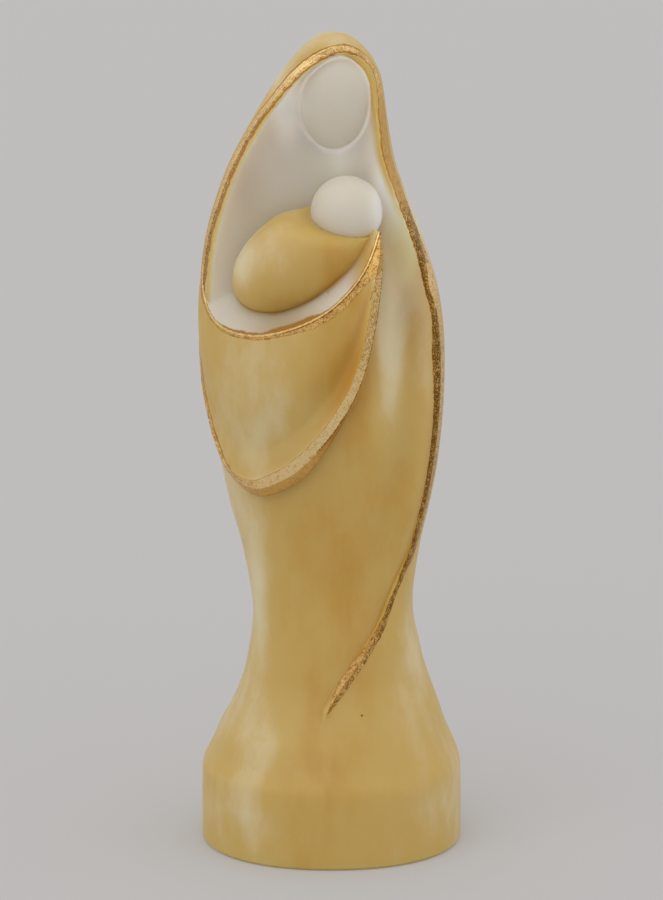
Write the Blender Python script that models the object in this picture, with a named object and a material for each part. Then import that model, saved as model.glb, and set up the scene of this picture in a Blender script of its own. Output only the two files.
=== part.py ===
"""Carved alabaster figure of the Virgin and Child, one solid piece standing on its own round foot.

X runs to the viewer's right, -Y towards the viewer and Z up. The origin is the middle of the underside.
The stone is shaped as a carver would: a turned block, hollowed in front between the two edges of the
mantle, with the head, the swaddled child and the fold of cloth that holds it standing out of the hollow.
Points are written in millimetres of the 200 mm figure and follow HEIGHT.
"""

import math

import bmesh
import bpy
import numpy as np
from mathutils import Euler, Matrix, Vector

HEIGHT = 0.2009
BASE_WIDTH = 0.0646
BASE_DEPTH = 0.0580
BAND_HEIGHT = 0.0185
BASE_CHAMFER = 0.0007

WAIST = 57.0

# From the foot's band up to the waist the sides draw in, (share of the way up, share of the flare left),
# a little later on the right.
SWELL = ((0.08, 0.91), (0.15, 0.80), (0.28, 0.63), (0.42, 0.41), (0.55, 0.25), (0.69, 0.13))
RIGHT_SWELL = (
    (0.08, 0.94), (0.15, 0.85), (0.28, 0.67), (0.42, 0.52), (0.55, 0.37), (0.69, 0.22), (0.84, 0.11),
)
BAND_LEAN = 0.995
BAND_LEANS_FROM = 0.6

# Seen from the front, (x, z): the left side from the waist to the crown, and the right side.
WAIST_LEFT = -19.4
WAIST_RIGHT = 20.3
LEFT_SIDE = (
    (-20.3, 66.0), (-22.2, 75.7), (-25.0, 86.0), (-27.4, 98.0), (-29.6, 110.0),
    (-31.2, 122.0), (-31.9, 134.0), (-31.7, 142.0), (-30.6, 151.0), (-28.1, 160.4),
    (-24.4, 170.1), (-19.2, 179.8), (-13.4, 189.4), (-9.7, 194.4), (-6.5, 197.8), (-3.4, 200.2),
)
RIGHT_SIDE = (
    (20.2, 64.0), (21.9, 75.7), (24.2, 86.0), (26.0, 96.0), (27.2, 108.0), (27.6, 120.0),
    (27.1, 131.0), (25.4, 141.0), (22.4, 150.6), (18.7, 160.4), (15.3, 170.1), (13.5, 179.8),
    (12.1, 189.4), (10.1, 194.4), (7.4, 197.8), (4.1, 200.2),
)
CROWN_RISE = 0.7
CROWN_TIP = (0.3, -0.5)
CROWN_FLAT = 0.06

# The crown stands just over the sides as drawn, and the real height sets the scale of all the points.
CROWN = LEFT_SIDE[-1][1] + CROWN_RISE
UNIT = HEIGHT / CROWN
BAND_TOP = BAND_HEIGHT / UNIT
HALF_WIDTH = BASE_WIDTH / 2 / UNIT
HALF_DEPTH = BASE_DEPTH / 2 / UNIT

# Seen from the side, (forward, z): the back from the waist to the crown, and the front of the block.
WAIST_BACK = -17.0
WAIST_FRONT = 16.4
BACK_SIDE = (
    (-18.4, 74.0), (-20.4, 94.0), (-22.2, 118.0), (-21.9, 138.0), (-20.2, 154.0), (-17.6, 168.0),
    (-14.8, 181.0), (-12.0, 190.0), (-9.4, 195.0), (-6.4, 198.6), (-3.6, 200.3),
)
FRONT_SIDE = (
    (15.3, 68.0), (15.6, 80.0), (16.6, 94.0), (17.6, 112.0), (17.6, 135.0), (16.6, 152.0),
    (14.6, 166.0), (12.4, 179.0), (10.6, 188.0), (8.8, 194.0), (6.6, 198.2), (3.2, 200.3),
)

# The mantle's edge, (x, z): up the left side, over the brow, down the right side to the hem.
EDGE = (
    (-24.0, 84.0), (-28.6, 108.0), (-31.2, 126.0), (-31.5, 141.0), (-30.2, 151.8), (-27.8, 160.4),
    (-24.1, 170.1), (-18.8, 179.8), (-14.5, 185.6), (-10.2, 191.0), (-6.0, 194.8), (-1.6, 197.3),
    (2.2, 198.2), (5.6, 197.4), (8.8, 194.8), (11.0, 191.0), (12.2, 185.2), (13.2, 177.6),
    (14.3, 171.0), (18.1, 160.4), (22.0, 150.2), (25.0, 141.0), (26.7, 131.0), (27.3, 120.0),
    (26.9, 108.0), (25.8, 97.5), (24.0, 87.8), (22.1, 80.3), (20.1, 73.9), (17.6, 69.0),
    (15.6, 64.6), (12.7, 57.2), (9.8, 52.2), (6.8, 47.8), (3.2, 42.6), (-1.0, 36.8),
)
EDGE_WIDTH = ((30.0, 1.2), (45.0, 2.4), (56.0, 1.9), (70.0, 1.5), (110.0, 2.0), (150.0, 2.1), (200.0, 2.0))
HOLLOW_FROM, HOLLOW_TO = 104.0, 152.0
HOLLOW_DEPTH = ((100.0, 7.0), (150.0, 7.6), (172.0, 7.4), (186.0, 6.0), (193.0, 4.0), (197.0, 1.5))
HOLLOW_FULLNESS = 0.85
FULL_HOLLOW_WIDTH = 9.0
EDGE_DROP = ((30.0, 0.0), (37.0, 0.2), (48.0, 0.7), (62.0, 1.5), (90.0, 1.4), (140.0, 1.1), (200.0, 0.9))
DROP_REACH = 26.0
BEAD_HEIGHT = ((35.6, 0.0), (38.0, 1.0), (46.0, 1.1), (56.0, 0.5), (66.0, 0.0))
CHANNEL_DEPTH = ((62.0, 0.0), (84.0, 1.6), (104.0, 3.4), (135.0, 3.4), (156.0, 0.6), (166.0, 0.0))
CHANNEL_FROM_EDGE = 7.0
CHANNEL_WIDTH = 5.0
THROAT = (1.4, 168.0)
THROAT_SIZE = (4.6, 7.0)
THROAT_RISE = 2.4
ROUNDNESS = 2.15

# The fold of the mantle that carries the child: its upper lip, which runs on from the mantle's left
# edge, and its lower edge, (x, forward, z). The keys along it are shares of its length.
LIP = (
    (-29.4, 1.4, 155.0), (-30.5, 2.4, 149.6), (-31.1, 3.0, 145.0), (-31.2, 3.8, 141.0),
    (-30.5, 5.9, 137.0), (-28.5, 10.3, 133.4), (-24.6, 15.0, 131.3), (-18.1, 19.2, 130.9),
    (-11.6, 21.6, 132.4), (-6.2, 22.2, 134.4), (-1.0, 21.7, 137.2), (3.6, 20.6, 141.2),
    (7.0, 19.2, 145.4), (9.4, 17.6, 150.0), (11.2, 15.0, 155.2),
)
LOWER_EDGE = (
    (-24.2, -11.0, 151.0), (-29.4, -10.0, 141.0), (-31.4, -5.0, 133.0), (-31.9, -0.6, 125.0),
    (-31.2, 3.0, 115.0), (-29.6, 6.2, 107.0), (-27.7, 9.0, 100.6), (-24.6, 13.0, 95.6),
    (-18.6, 17.8, 93.2), (-11.5, 20.2, 96.0), (-5.8, 21.2, 100.4), (-0.4, 21.6, 106.4),
    (4.8, 21.2, 114.4), (8.2, 20.6, 122.6), (10.2, 19.8, 131.0), (11.6, 18.6, 140.0),
    (12.3, 17.0, 148.0), (11.8, 14.8, 155.0),
)
HEM_SHARE = 0.7
HEM_WIDTH = ((0.0, 0.5), (0.22, 0.9), (0.42, 1.6), (0.52, 2.4), (0.7, 2.8), (0.9, 2.9), (1.0, 0.5))
FULL_HEM = 2.0
HEM_TILT = 0.9
HEM_WALL_DROP = 2.4
HEM_WALL_INSET = 2.2
HIDDEN_INSET = 4.0
FOLD_ROWS = (0.08, 0.2, 0.4, 0.6, 0.8, 0.92)
FOLD_SWELL = ((0.0, 0.0), (0.3, 1.4), (0.55, 1.6), (0.85, 0.3), (1.0, 0.0))
SWELL_REACH = 1.25
FOLD_HOLLOW = ((0.0, 0.0), (0.3, 0.2), (0.6, 1.5), (0.85, 0.8), (1.0, 0.0))
HOLLOW_AT, HOLLOW_REACH = 0.75, 0.22
FULL_FOLD = 20.0
FOLD_AXIS = (-2.0, -3.0)
FOLD_REACH = 0.62
LIP_FALL = 6.0

# Eggs: middle (x, forward, z), half sizes (across, deep, long), lean to the right and forward in
# degrees, and how much the far end narrows.
HEAD = ((1.4, -0.2, 185.6), (10.0, 8.4, 12.8), 7.0, -4.0, -0.18)
SWADDLED_CHILD = ((-6.2, 8.8, 148.9), (11.3, 10.4, 19.8), 55.6, 4.0, 0.07)
CHILDS_HEAD = ((3.6, 8.4, 158.9), (8.6, 8.6, 8.6), 0.0, 0.0, 0.0)

# The swaddling ends in a collar: where it is cut, and the way the cut faces, (x, forward, z).
COLLAR_AT = (2.9, 7.5, 156.8)
COLLAR_FACES = (0.18, 0.30, 0.94)

TEMPLE_BELOW_BROW = 14.2
BODY_ROWS = (3, 58, 10, 3, 5)
ROWS_CLOSE_IN = (False, False, True, True, True)
BACK_COLUMNS = 24
FRONT_COLUMNS = 18
FOLD_STEPS = 40
EGG_SEGMENTS = 16
CURVE_STEPS = 24
MERGED = 0.01
TINY = 1e-6

ALABASTER = (0.66, 0.47, 0.20, 1.0)
ALABASTER_ROUGHNESS = 0.42


def clear_scene():
    for item in list(bpy.data.objects):
        bpy.data.objects.remove(item, do_unlink=True)


def level(keys, at):
    """A smooth curve through (place, value) keys that never overshoots them, read at the places given."""
    place, value = np.array(keys, float).T
    gap = np.diff(place)
    rise = np.diff(value) / gap
    slope = np.concatenate([rise[:1], (rise[:-1] + rise[1:]) / 2, rise[-1:]])
    turning = np.concatenate([[False], rise[:-1] * rise[1:] <= 0, [False]])
    limit = 3 * np.minimum(np.abs(np.append(rise[0], rise)), np.abs(np.append(rise, rise[-1])))
    slope = np.where(turning, 0.0, np.clip(slope, -limit, limit))
    at = np.clip(at, place[0], place[-1])
    i = np.clip(np.searchsorted(place, at, side="right") - 1, 0, len(gap) - 1)
    t = (at - place[i]) / gap[i]
    start, end = value[i], value[i + 1]
    return (
        start * (1 + 2 * t) * (1 - t) ** 2
        + end * t * t * (3 - 2 * t)
        + gap[i] * (slope[i] * t * (1 - t) ** 2 - slope[i + 1] * t * t * (1 - t))
    )


def curve(points):
    """Points along a smooth curve through the points given."""
    points = np.array(points, float)
    ends = [2 * points[0] - points[1], 2 * points[-1] - points[-2]]
    padded = np.vstack([ends[0], points, ends[1]])
    t = np.arange(CURVE_STEPS)[:, None] / CURVE_STEPS
    spans = [
        0.5 * (2 * b + (c - a) * t + (2 * a - 5 * b + 4 * c - d) * t**2 + (3 * b - a - 3 * c + d) * t**3)
        for a, b, c, d in zip(padded, padded[1:], padded[2:], padded[3:])
    ]
    return np.vstack([*spans, points[-1:]])


def evenly(points, count):
    """The same curve read at count places that are equally far apart, with each place's share of the way."""
    dense = curve(points)
    run = np.concatenate([[0.0], np.cumsum(np.linalg.norm(np.diff(dense, axis=0), axis=1))])
    share = np.linspace(0.0, 1.0, count)
    return np.stack([np.interp(share * run[-1], run, axis) for axis in dense.T], axis=1), share


def smooth_step(value, low, high):
    t = np.clip((value - low) / (high - low), 0.0, 1.0)
    return t * t * (3 - 2 * t)


def side(foot, waist, above, flare=SWELL):
    """One outline from the floor to below the crown: the foot's band, its swell into the waist, the rest."""
    swell = [(waist + (foot - waist) * share, BAND_TOP + (WAIST - BAND_TOP) * up) for up, share in flare]
    band = [(foot, 0.0), (foot, BAND_TOP * BAND_LEANS_FROM), (foot * BAND_LEAN, BAND_TOP)]
    return [*band, *swell, (waist, WAIST), *above]


def outline(rising, falling, tip):
    """Two functions of height, for the side that rises to the tip and the side that falls from it."""
    whole = curve([*rising, (tip, CROWN + CROWN_FLAT), *reversed(falling)])
    top = int(np.argmax(whole[:, 1]))
    up, down = whole[: top + 1], whole[top:][::-1]
    return (
        lambda z: np.interp(z, np.maximum.accumulate(up[:, 1]), up[:, 0]),
        lambda z: np.interp(z, np.maximum.accumulate(down[:, 1]), down[:, 0]),
    )


left_x, right_x = outline(
    side(-HALF_WIDTH, WAIST_LEFT, LEFT_SIDE),
    side(HALF_WIDTH, WAIST_RIGHT, RIGHT_SIDE, RIGHT_SWELL),
    CROWN_TIP[0],
)
back_depth, front_depth = outline(
    side(-HALF_DEPTH, WAIST_BACK, BACK_SIDE), side(HALF_DEPTH, WAIST_FRONT, FRONT_SIDE), CROWN_TIP[1]
)


def edge_lines():
    """The mantle's edge as functions of height: outer left and right, then inner left and right."""
    whole = curve(EDGE)
    top = int(np.argmax(whole[:, 1]))
    outer = whole[: top + 1], whole[top:][::-1]
    along = np.gradient(whole, axis=0)
    inward = np.stack([along[:, 1], -along[:, 0]], axis=1) / np.linalg.norm(along, axis=1)[:, None]
    inner = whole + inward * level(EDGE_WIDTH, whole[:, 1])[:, None]
    inner_top = int(np.argmax(inner[:, 1]))
    lines = [*outer, inner[: inner_top + 1], inner[inner_top:][::-1]]
    return lines, whole[top], inner[inner_top]


EDGE_LINES, BROW_POINT, INNER_BROW_POINT = edge_lines()


def along_edge(line, z):
    return np.interp(z, np.maximum.accumulate(line[:, 1]), line[:, 0])


def block_front(x, z):
    """How far forward the uncarved block reaches at x, z."""
    middle, half = (left_x(z) + right_x(z)) / 2, (right_x(z) - left_x(z)) / 2
    across = np.clip(np.abs(x - middle) / np.maximum(half, TINY), 0.0, 1.0)
    return front_depth(z) * (1 - across**ROUNDNESS) ** (1 / ROUNDNESS)


def carved_front(x, z, left, right):
    """The carved surface between the mantle's edges: the hollow above, the robe below."""
    share = np.clip((x - left) / np.maximum(right - left, TINY), 0.0, 1.0)
    open_above = smooth_step(z, HOLLOW_FROM, HOLLOW_TO)
    drop = level(EDGE_DROP, z)
    robe = block_front(x, z) - drop * np.clip(1 - (right - x) / DROP_REACH, 0.0, 1.0) ** 2
    rims = block_front(left, z) * (1 - share) + block_front(right, z) * share
    depth = level(HOLLOW_DEPTH, z) * smooth_step(right - left, 0.0, FULL_HOLLOW_WIDTH)
    hollow = rims - drop - depth * (4 * share * (1 - share)) ** HOLLOW_FULLNESS
    channel = level(CHANNEL_DEPTH, z) * np.exp(-(((x - right + CHANNEL_FROM_EDGE) / CHANNEL_WIDTH) ** 2))
    throat = np.exp(-(((x - THROAT[0]) / THROAT_SIZE[0]) ** 2) - ((z - THROAT[1]) / THROAT_SIZE[1]) ** 2)
    return robe * (1 - open_above) + hollow * open_above - channel + THROAT_RISE * throat


def brow_rim(x, z, left, right):
    """The rim over the brow, sloping back from its outer line to the hollow."""
    share = np.clip((x - left) / np.maximum(right - left, TINY), 0.0, 1.0)
    below = (BROW_POINT[1] - z) / (BROW_POINT[1] - INNER_BROW_POINT[1])
    return block_front(x, z) - level(EDGE_DROP, z) * below * np.sqrt(4 * share * (1 - share))


def body_heights():
    """Heights of the rows, closer together at the foot's edge, the brow and the crown."""
    heights = [np.array([0.0])]
    temple = INNER_BROW_POINT[1] - TEMPLE_BELOW_BROW
    stops = (BASE_CHAMFER / UNIT, BAND_TOP, temple, INNER_BROW_POINT[1], BROW_POINT[1], CROWN)
    for low, high, rows, closing in zip(stops, stops[1:], BODY_ROWS, ROWS_CLOSE_IN):
        way = np.linspace(0.0, 1.0, rows + 1)
        heights.append(low + (high - low) * (np.sin(way * math.pi / 2) if closing else way)[:-1])
    return np.append(np.concatenate(heights), CROWN)


def body_section(z):
    """One level cut through the block as (x, forward) points: round the back, then across the front."""
    left, right = left_x(z), right_x(z)
    middle, half = (left + right) / 2, (right - left) / 2
    carved = z < INNER_BROW_POINT[1]
    if z >= BROW_POINT[1]:
        seam = BROW_POINT[0] + (CROWN_TIP[0] - BROW_POINT[0]) * smooth_step(z, BROW_POINT[1], CROWN)
        outer = inner = (seam, seam)
    else:
        outer = [along_edge(line, z) for line in EDGE_LINES[:2]]
        inner = [along_edge(line, z) for line in EDGE_LINES[2:]] if carved else outer
    outer = np.clip(outer, left, right)
    inner = np.clip(inner, outer[0], outer[1])
    start, end = (math.acos(np.clip((x - middle) / half, -1.0, 1.0)) for x in (outer[1], outer[0]))
    turn = np.linspace(start, end - 2 * math.pi, BACK_COLUMNS + 1)
    cos, sin = np.cos(turn), np.sin(turn)
    power = 2 / ROUNDNESS
    depth = np.where(sin > 0, front_depth(z), -back_depth(z))
    x = middle + half * np.sign(cos) * np.abs(cos) ** power
    forward = depth * np.sign(sin) * np.abs(sin) ** power
    x[[0, -1]] = outer[1], outer[0]
    forward[[0, -1]] = block_front(outer[::-1], np.full(2, z))
    even = np.linspace(0.0, 1.0, FRONT_COLUMNS + 1)
    across = inner[0] + (inner[1] - inner[0]) * (even + (1 - np.cos(even * math.pi)) / 2) / 2
    if carved:
        front = carved_front(across, z, *inner)
    elif z < BROW_POINT[1]:
        front = brow_rim(across, z, *inner)
    else:
        front = block_front(across, z)
    ridge = (inner[1] + outer[1]) / 2
    bead = block_front(ridge, z) + level(BEAD_HEIGHT, z)
    return np.concatenate([x, across, [ridge]]), np.concatenate([forward, front, [bead]])


def mesh_object(name, rings):
    """A closed body from rings of points in millimetres, skinned ring to ring and capped."""
    mesh = bpy.data.meshes.new(name)
    shape = bmesh.new()
    made = [[shape.verts.new((x * UNIT, -y * UNIT, z * UNIT)) for x, y, z in ring] for ring in rings]
    for lower, upper in zip(made, made[1:]):
        for i in range(len(lower)):
            j = (i + 1) % len(lower)
            shape.faces.new((lower[i], lower[j], upper[j], upper[i]))
    shape.faces.new(made[0][::-1])
    shape.faces.new(made[-1])
    bmesh.ops.remove_doubles(shape, verts=shape.verts, dist=UNIT * MERGED)
    bmesh.ops.dissolve_degenerate(shape, edges=shape.edges, dist=UNIT * MERGED)
    bmesh.ops.recalc_face_normals(shape, faces=shape.faces)
    shape.to_mesh(mesh)
    shape.free()
    item = bpy.data.objects.new(name, mesh)
    bpy.context.scene.collection.objects.link(item)
    return item


def make_body():
    """The block with its hollow, its robe and its two edges, from the underside to the crown."""
    rings = []
    for z in body_heights():
        x, forward = body_section(z)
        inset = 1 - BASE_CHAMFER / UNIT / HALF_WIDTH if z == 0 else 1.0
        rings.append([(a * inset, b * inset, z) for a, b in zip(x, forward)])
    return mesh_object("virgin_and_child", rings)


def make_fold():
    """The fold of the mantle: a shell round the body between its lip and its broad lower edge."""
    lip, share = evenly(LIP, FOLD_STEPS)
    lower, _ = evenly(LOWER_EDGE, FOLD_STEPS)
    axis = np.array(FOLD_AXIS)
    along = np.gradient(lower, axis=0)
    rings = []
    for i, t in enumerate(share):
        out = np.append(lower[i, :2] - axis, 0.0)
        out /= np.linalg.norm(out)
        away = np.cross(along[i], out)
        away *= np.sign(away @ (lower[i] - lip[i])) / np.linalg.norm(away)
        gap = np.linalg.norm(lip[i] - lower[i])
        hem = min(float(level(HEM_WIDTH, t)), HEM_SHARE * gap)
        full = min(1.0, hem / FULL_HEM)
        spread = min(1.0, gap / FULL_FOLD)
        crease = lower[i] - away * hem + out * HEM_TILT * full
        ring = [lip[i]]
        for v in FOLD_ROWS:
            swell = level(FOLD_SWELL, t) * math.sin(math.pi * min(1.0, v * SWELL_REACH))
            sunk = level(FOLD_HOLLOW, t) * math.exp(-(((v - HOLLOW_AT) / HOLLOW_REACH) ** 2))
            ring.append(lip[i] + (crease - lip[i]) * v + out * (swell - sunk) * spread)
        wall = lower[i] + (away * HEM_WALL_DROP - out * HEM_WALL_INSET) * full
        foot = wall - out * HIDDEN_INSET * full
        ring += [crease, lower[i], wall, foot]
        for point, fall in ((foot, 0.0), (lip[i], LIP_FALL * spread)):
            inside = point.copy()
            inside[:2] += (axis - inside[:2]) * FOLD_REACH
            inside[2] -= fall
            ring.append(inside)
        rings.append(ring)
    return mesh_object("fold", rings)


def make_egg(name, middle, half, lean, nod, narrow, cut_at=None, cut_faces=None):
    """A head or a swaddled body: a sphere drawn out to an egg, turned to its place and maybe cut across."""
    mesh = bpy.data.meshes.new(name)
    shape = bmesh.new()
    bmesh.ops.create_uvsphere(shape, u_segments=EGG_SEGMENTS * 2, v_segments=EGG_SEGMENTS, radius=1.0)
    for vertex in shape.verts:
        slim = 1 - narrow * vertex.co.z
        vertex.co.x *= half[0] * slim
        vertex.co.y *= half[1] * slim
        vertex.co.z *= half[2]
    turn = Euler((math.radians(nod), math.radians(lean), 0.0))
    if cut_at:
        back = turn.to_matrix().transposed()
        away = [cut_at[i] - middle[i] for i in range(3)]
        cut = bmesh.ops.bisect_plane(
            shape,
            geom=[*shape.verts, *shape.edges, *shape.faces],
            plane_co=back @ Vector((away[0], -away[1], away[2])),
            plane_no=back @ Vector((cut_faces[0], -cut_faces[1], cut_faces[2])),
            clear_outer=True,
        )
        rim = [item for item in cut["geom_cut"] if isinstance(item, bmesh.types.BMEdge)]
        bmesh.ops.holes_fill(shape, edges=rim)
        bmesh.ops.recalc_face_normals(shape, faces=shape.faces)
    shape.transform(Matrix.Scale(UNIT, 4))
    shape.to_mesh(mesh)
    shape.free()
    item = bpy.data.objects.new(name, mesh)
    item.location = (middle[0] * UNIT, -middle[1] * UNIT, middle[2] * UNIT)
    item.rotation_euler = turn
    bpy.context.scene.collection.objects.link(item)
    return item


def carve_as_one(body, others):
    """Joins the others to the body as one stone."""
    for other in others:
        join = body.modifiers.new("join " + other.name, "BOOLEAN")
        join.operation = "UNION"
        join.object = other
        other.hide_render = True
        other.display_type = "WIRE"


def give_stone(body):
    stone = bpy.data.materials.new("honey alabaster")
    stone.use_nodes = True
    shader = stone.node_tree.nodes["Principled BSDF"]
    shader.inputs["Base Color"].default_value = ALABASTER
    shader.inputs["Roughness"].default_value = ALABASTER_ROUGHNESS
    shader.inputs["Metallic"].default_value = 0.0
    body.data.materials.append(stone)
    body.data.shade_smooth()


clear_scene()
figure = make_body()
carve_as_one(
    figure,
    [
        make_fold(),
        make_egg("mothers_head", *HEAD),
        make_egg("swaddled_child", *SWADDLED_CHILD, COLLAR_AT, COLLAR_FACES),
        make_egg("childs_head", *CHILDS_HEAD),
    ],
)
give_stone(figure)
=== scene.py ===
"""Looks of the carved alabaster mother and child: one honey-coloured stone with hand-gilded edges.

Points are millimetres of the figure as drawn, (x, forward, z) or (x, z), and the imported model's height
gives their real size. X runs to the viewer's right, forward is -Y and Z is up.
"""

import math

import bmesh
import bpy
import numpy as np
from mathutils import Euler, Matrix, Vector


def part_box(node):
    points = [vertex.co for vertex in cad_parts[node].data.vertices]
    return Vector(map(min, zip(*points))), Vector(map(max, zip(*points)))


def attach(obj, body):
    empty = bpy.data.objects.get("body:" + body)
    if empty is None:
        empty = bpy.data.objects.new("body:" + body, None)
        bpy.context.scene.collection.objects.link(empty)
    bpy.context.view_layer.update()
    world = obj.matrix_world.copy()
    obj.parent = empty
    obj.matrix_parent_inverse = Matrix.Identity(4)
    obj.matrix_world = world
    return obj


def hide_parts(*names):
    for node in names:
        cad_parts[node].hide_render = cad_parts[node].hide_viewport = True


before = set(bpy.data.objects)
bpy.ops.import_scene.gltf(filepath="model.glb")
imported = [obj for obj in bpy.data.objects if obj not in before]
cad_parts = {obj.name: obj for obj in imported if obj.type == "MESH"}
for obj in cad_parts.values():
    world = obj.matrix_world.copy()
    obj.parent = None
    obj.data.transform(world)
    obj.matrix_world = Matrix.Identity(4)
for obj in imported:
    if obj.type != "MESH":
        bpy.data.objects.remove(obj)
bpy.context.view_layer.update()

# The block: one piece of honey alabaster, turned and rasped to its outline, then hollowed in front between
# the two edges of the mantle. Below the hollow the front is the plain robe, running into the round foot.
LEFT_SIDE = (
    (-20.3, 66.0), (-22.2, 75.7), (-25.0, 86.0), (-27.4, 98.0), (-29.6, 110.0),
    (-31.2, 122.0), (-31.9, 134.0), (-31.7, 142.0), (-30.6, 151.0), (-28.1, 160.4),
    (-24.4, 170.1), (-19.2, 179.8), (-13.4, 189.4), (-9.7, 194.4), (-6.5, 197.8), (-3.4, 200.2),
)
RIGHT_SIDE = (
    (20.2, 64.0), (21.9, 75.7), (24.2, 86.0), (26.0, 96.0), (27.2, 108.0), (27.6, 120.0),
    (27.1, 131.0), (25.4, 141.0), (22.4, 150.6), (18.7, 160.4), (15.3, 170.1), (13.5, 179.8),
    (12.1, 189.4), (10.1, 194.4), (7.4, 197.8), (4.1, 200.2),
)
BACK_SIDE = (
    (-18.4, 74.0), (-20.4, 94.0), (-22.2, 118.0), (-21.9, 138.0), (-20.2, 154.0), (-17.6, 168.0),
    (-14.8, 181.0), (-12.0, 190.0), (-9.4, 195.0), (-6.4, 198.6), (-3.6, 200.3),
)
FRONT_SIDE = (
    (15.3, 68.0), (15.6, 80.0), (16.6, 94.0), (17.6, 112.0), (17.6, 135.0), (16.6, 152.0),
    (14.6, 166.0), (12.4, 179.0), (10.6, 188.0), (8.8, 194.0), (6.6, 198.2), (3.2, 200.3),
)
SWELL = ((0.08, 0.91), (0.15, 0.80), (0.28, 0.63), (0.42, 0.41), (0.55, 0.25), (0.69, 0.13))
RIGHT_SWELL = (
    (0.08, 0.94), (0.15, 0.85), (0.28, 0.67), (0.42, 0.52), (0.55, 0.37), (0.69, 0.22), (0.84, 0.11),
)
BAND_TOP = 18.5
BAND_LEAN = 0.995
BAND_LEANS_FROM = 0.6
BASE_CHAMFER = 0.7
WAIST = 57.0
WAIST_LEFT, WAIST_RIGHT = -19.4, 20.3
WAIST_BACK, WAIST_FRONT = -17.0, 16.4
CROWN_RISE = 0.7
CROWN_TIP = (0.3, -0.5)
CROWN_FLAT = 0.06
ROUNDNESS = 2.15
EDGE = (
    (-24.0, 84.0), (-28.6, 108.0), (-31.2, 126.0), (-31.5, 141.0), (-30.2, 151.8), (-27.8, 160.4),
    (-24.1, 170.1), (-18.8, 179.8), (-14.5, 185.6), (-10.2, 191.0), (-6.0, 194.8), (-1.6, 197.3),
    (2.2, 198.2), (5.6, 197.4), (8.8, 194.8), (11.0, 191.0), (12.2, 185.2), (13.2, 177.6),
    (14.3, 171.0), (18.1, 160.4), (22.0, 150.2), (25.0, 141.0), (26.7, 131.0), (27.3, 120.0),
    (26.9, 108.0), (25.8, 97.5), (24.0, 87.8), (22.1, 80.3), (20.1, 73.9), (17.6, 69.0),
    (15.6, 64.6), (12.7, 57.2), (9.8, 52.2), (6.8, 47.8), (3.2, 42.6), (-1.0, 36.8),
)
EDGE_WIDTH = ((30.0, 1.2), (45.0, 2.4), (56.0, 1.9), (70.0, 1.5), (110.0, 2.0), (150.0, 2.1), (200.0, 2.0))
EDGE_DROP = ((30.0, 0.0), (37.0, 0.2), (48.0, 0.7), (62.0, 1.5), (90.0, 1.4), (140.0, 1.1), (200.0, 0.9))
DROP_REACH = 26.0
BEAD_HEIGHT = ((35.6, 0.0), (38.0, 1.0), (46.0, 1.1), (56.0, 0.5), (66.0, 0.0))
HOLLOW_FROM, HOLLOW_TO = 104.0, 152.0
HOLLOW_DEPTH = ((100.0, 7.0), (150.0, 7.6), (172.0, 7.4), (186.0, 6.0), (193.0, 4.0), (197.0, 1.5))
HOLLOW_FULLNESS = 0.85
FULL_HOLLOW_WIDTH = 9.0
CHANNEL_DEPTH = ((62.0, 0.0), (84.0, 1.6), (104.0, 3.4), (130.0, 3.3), (147.0, 1.3), (160.0, 0.0))
CHANNEL_FROM_EDGE, CHANNEL_WIDTH = 7.0, 5.0
THROAT, THROAT_SIZE, THROAT_RISE = (1.4, 168.0), (4.6, 7.0), 2.4
TEMPLE_BELOW_BROW = 14.2
BODY_ROWS = (3, 210, 30, 8, 10)
ROWS_CLOSE_IN = (False, False, True, True, True)
BACK_COLUMNS, FRONT_COLUMNS = 96, 96
CURVE_STEPS = 24
MERGED = 0.01
TINY = 1e-6
SURFACES = ("mantle", "robe", "hollow", "fold", "hem wall", "fold inside", "swaddling", "collar", "head")
HOLLOW_FACES_FROM = 128.0

low_corner, high_corner = (Vector(corner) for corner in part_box("virgin_and_child"))
CROWN = LEFT_SIDE[-1][1] + CROWN_RISE
UNIT = (high_corner.z - low_corner.z) / CROWN
HALF_WIDTH = (high_corner.x - low_corner.x) / 2 / UNIT
HALF_DEPTH = (high_corner.y - low_corner.y) / 2 / UNIT


def level(keys, at):
    """A smooth curve through (place, value) keys that never overshoots them, read at the places given."""
    place, value = np.array(keys, float).T
    gap = np.diff(place)
    rise = np.diff(value) / gap
    slope = np.concatenate([rise[:1], (rise[:-1] + rise[1:]) / 2, rise[-1:]])
    turning = np.concatenate([[False], rise[:-1] * rise[1:] <= 0, [False]])
    limit = 3 * np.minimum(np.abs(np.append(rise[0], rise)), np.abs(np.append(rise, rise[-1])))
    slope = np.where(turning, 0.0, np.clip(slope, -limit, limit))
    at = np.clip(at, place[0], place[-1])
    i = np.clip(np.searchsorted(place, at, side="right") - 1, 0, len(gap) - 1)
    t = (at - place[i]) / gap[i]
    start, end = value[i], value[i + 1]
    return (
        start * (1 + 2 * t) * (1 - t) ** 2
        + end * t * t * (3 - 2 * t)
        + gap[i] * (slope[i] * t * (1 - t) ** 2 - slope[i + 1] * t * t * (1 - t))
    )


def curve(points):
    """Points along a smooth curve through the points given."""
    points = np.array(points, float)
    ends = [2 * points[0] - points[1], 2 * points[-1] - points[-2]]
    padded = np.vstack([ends[0], points, ends[1]])
    t = np.arange(CURVE_STEPS)[:, None] / CURVE_STEPS
    spans = [
        0.5 * (2 * b + (c - a) * t + (2 * a - 5 * b + 4 * c - d) * t**2 + (3 * b - a - 3 * c + d) * t**3)
        for a, b, c, d in zip(padded, padded[1:], padded[2:], padded[3:])
    ]
    return np.vstack([*spans, points[-1:]])


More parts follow.
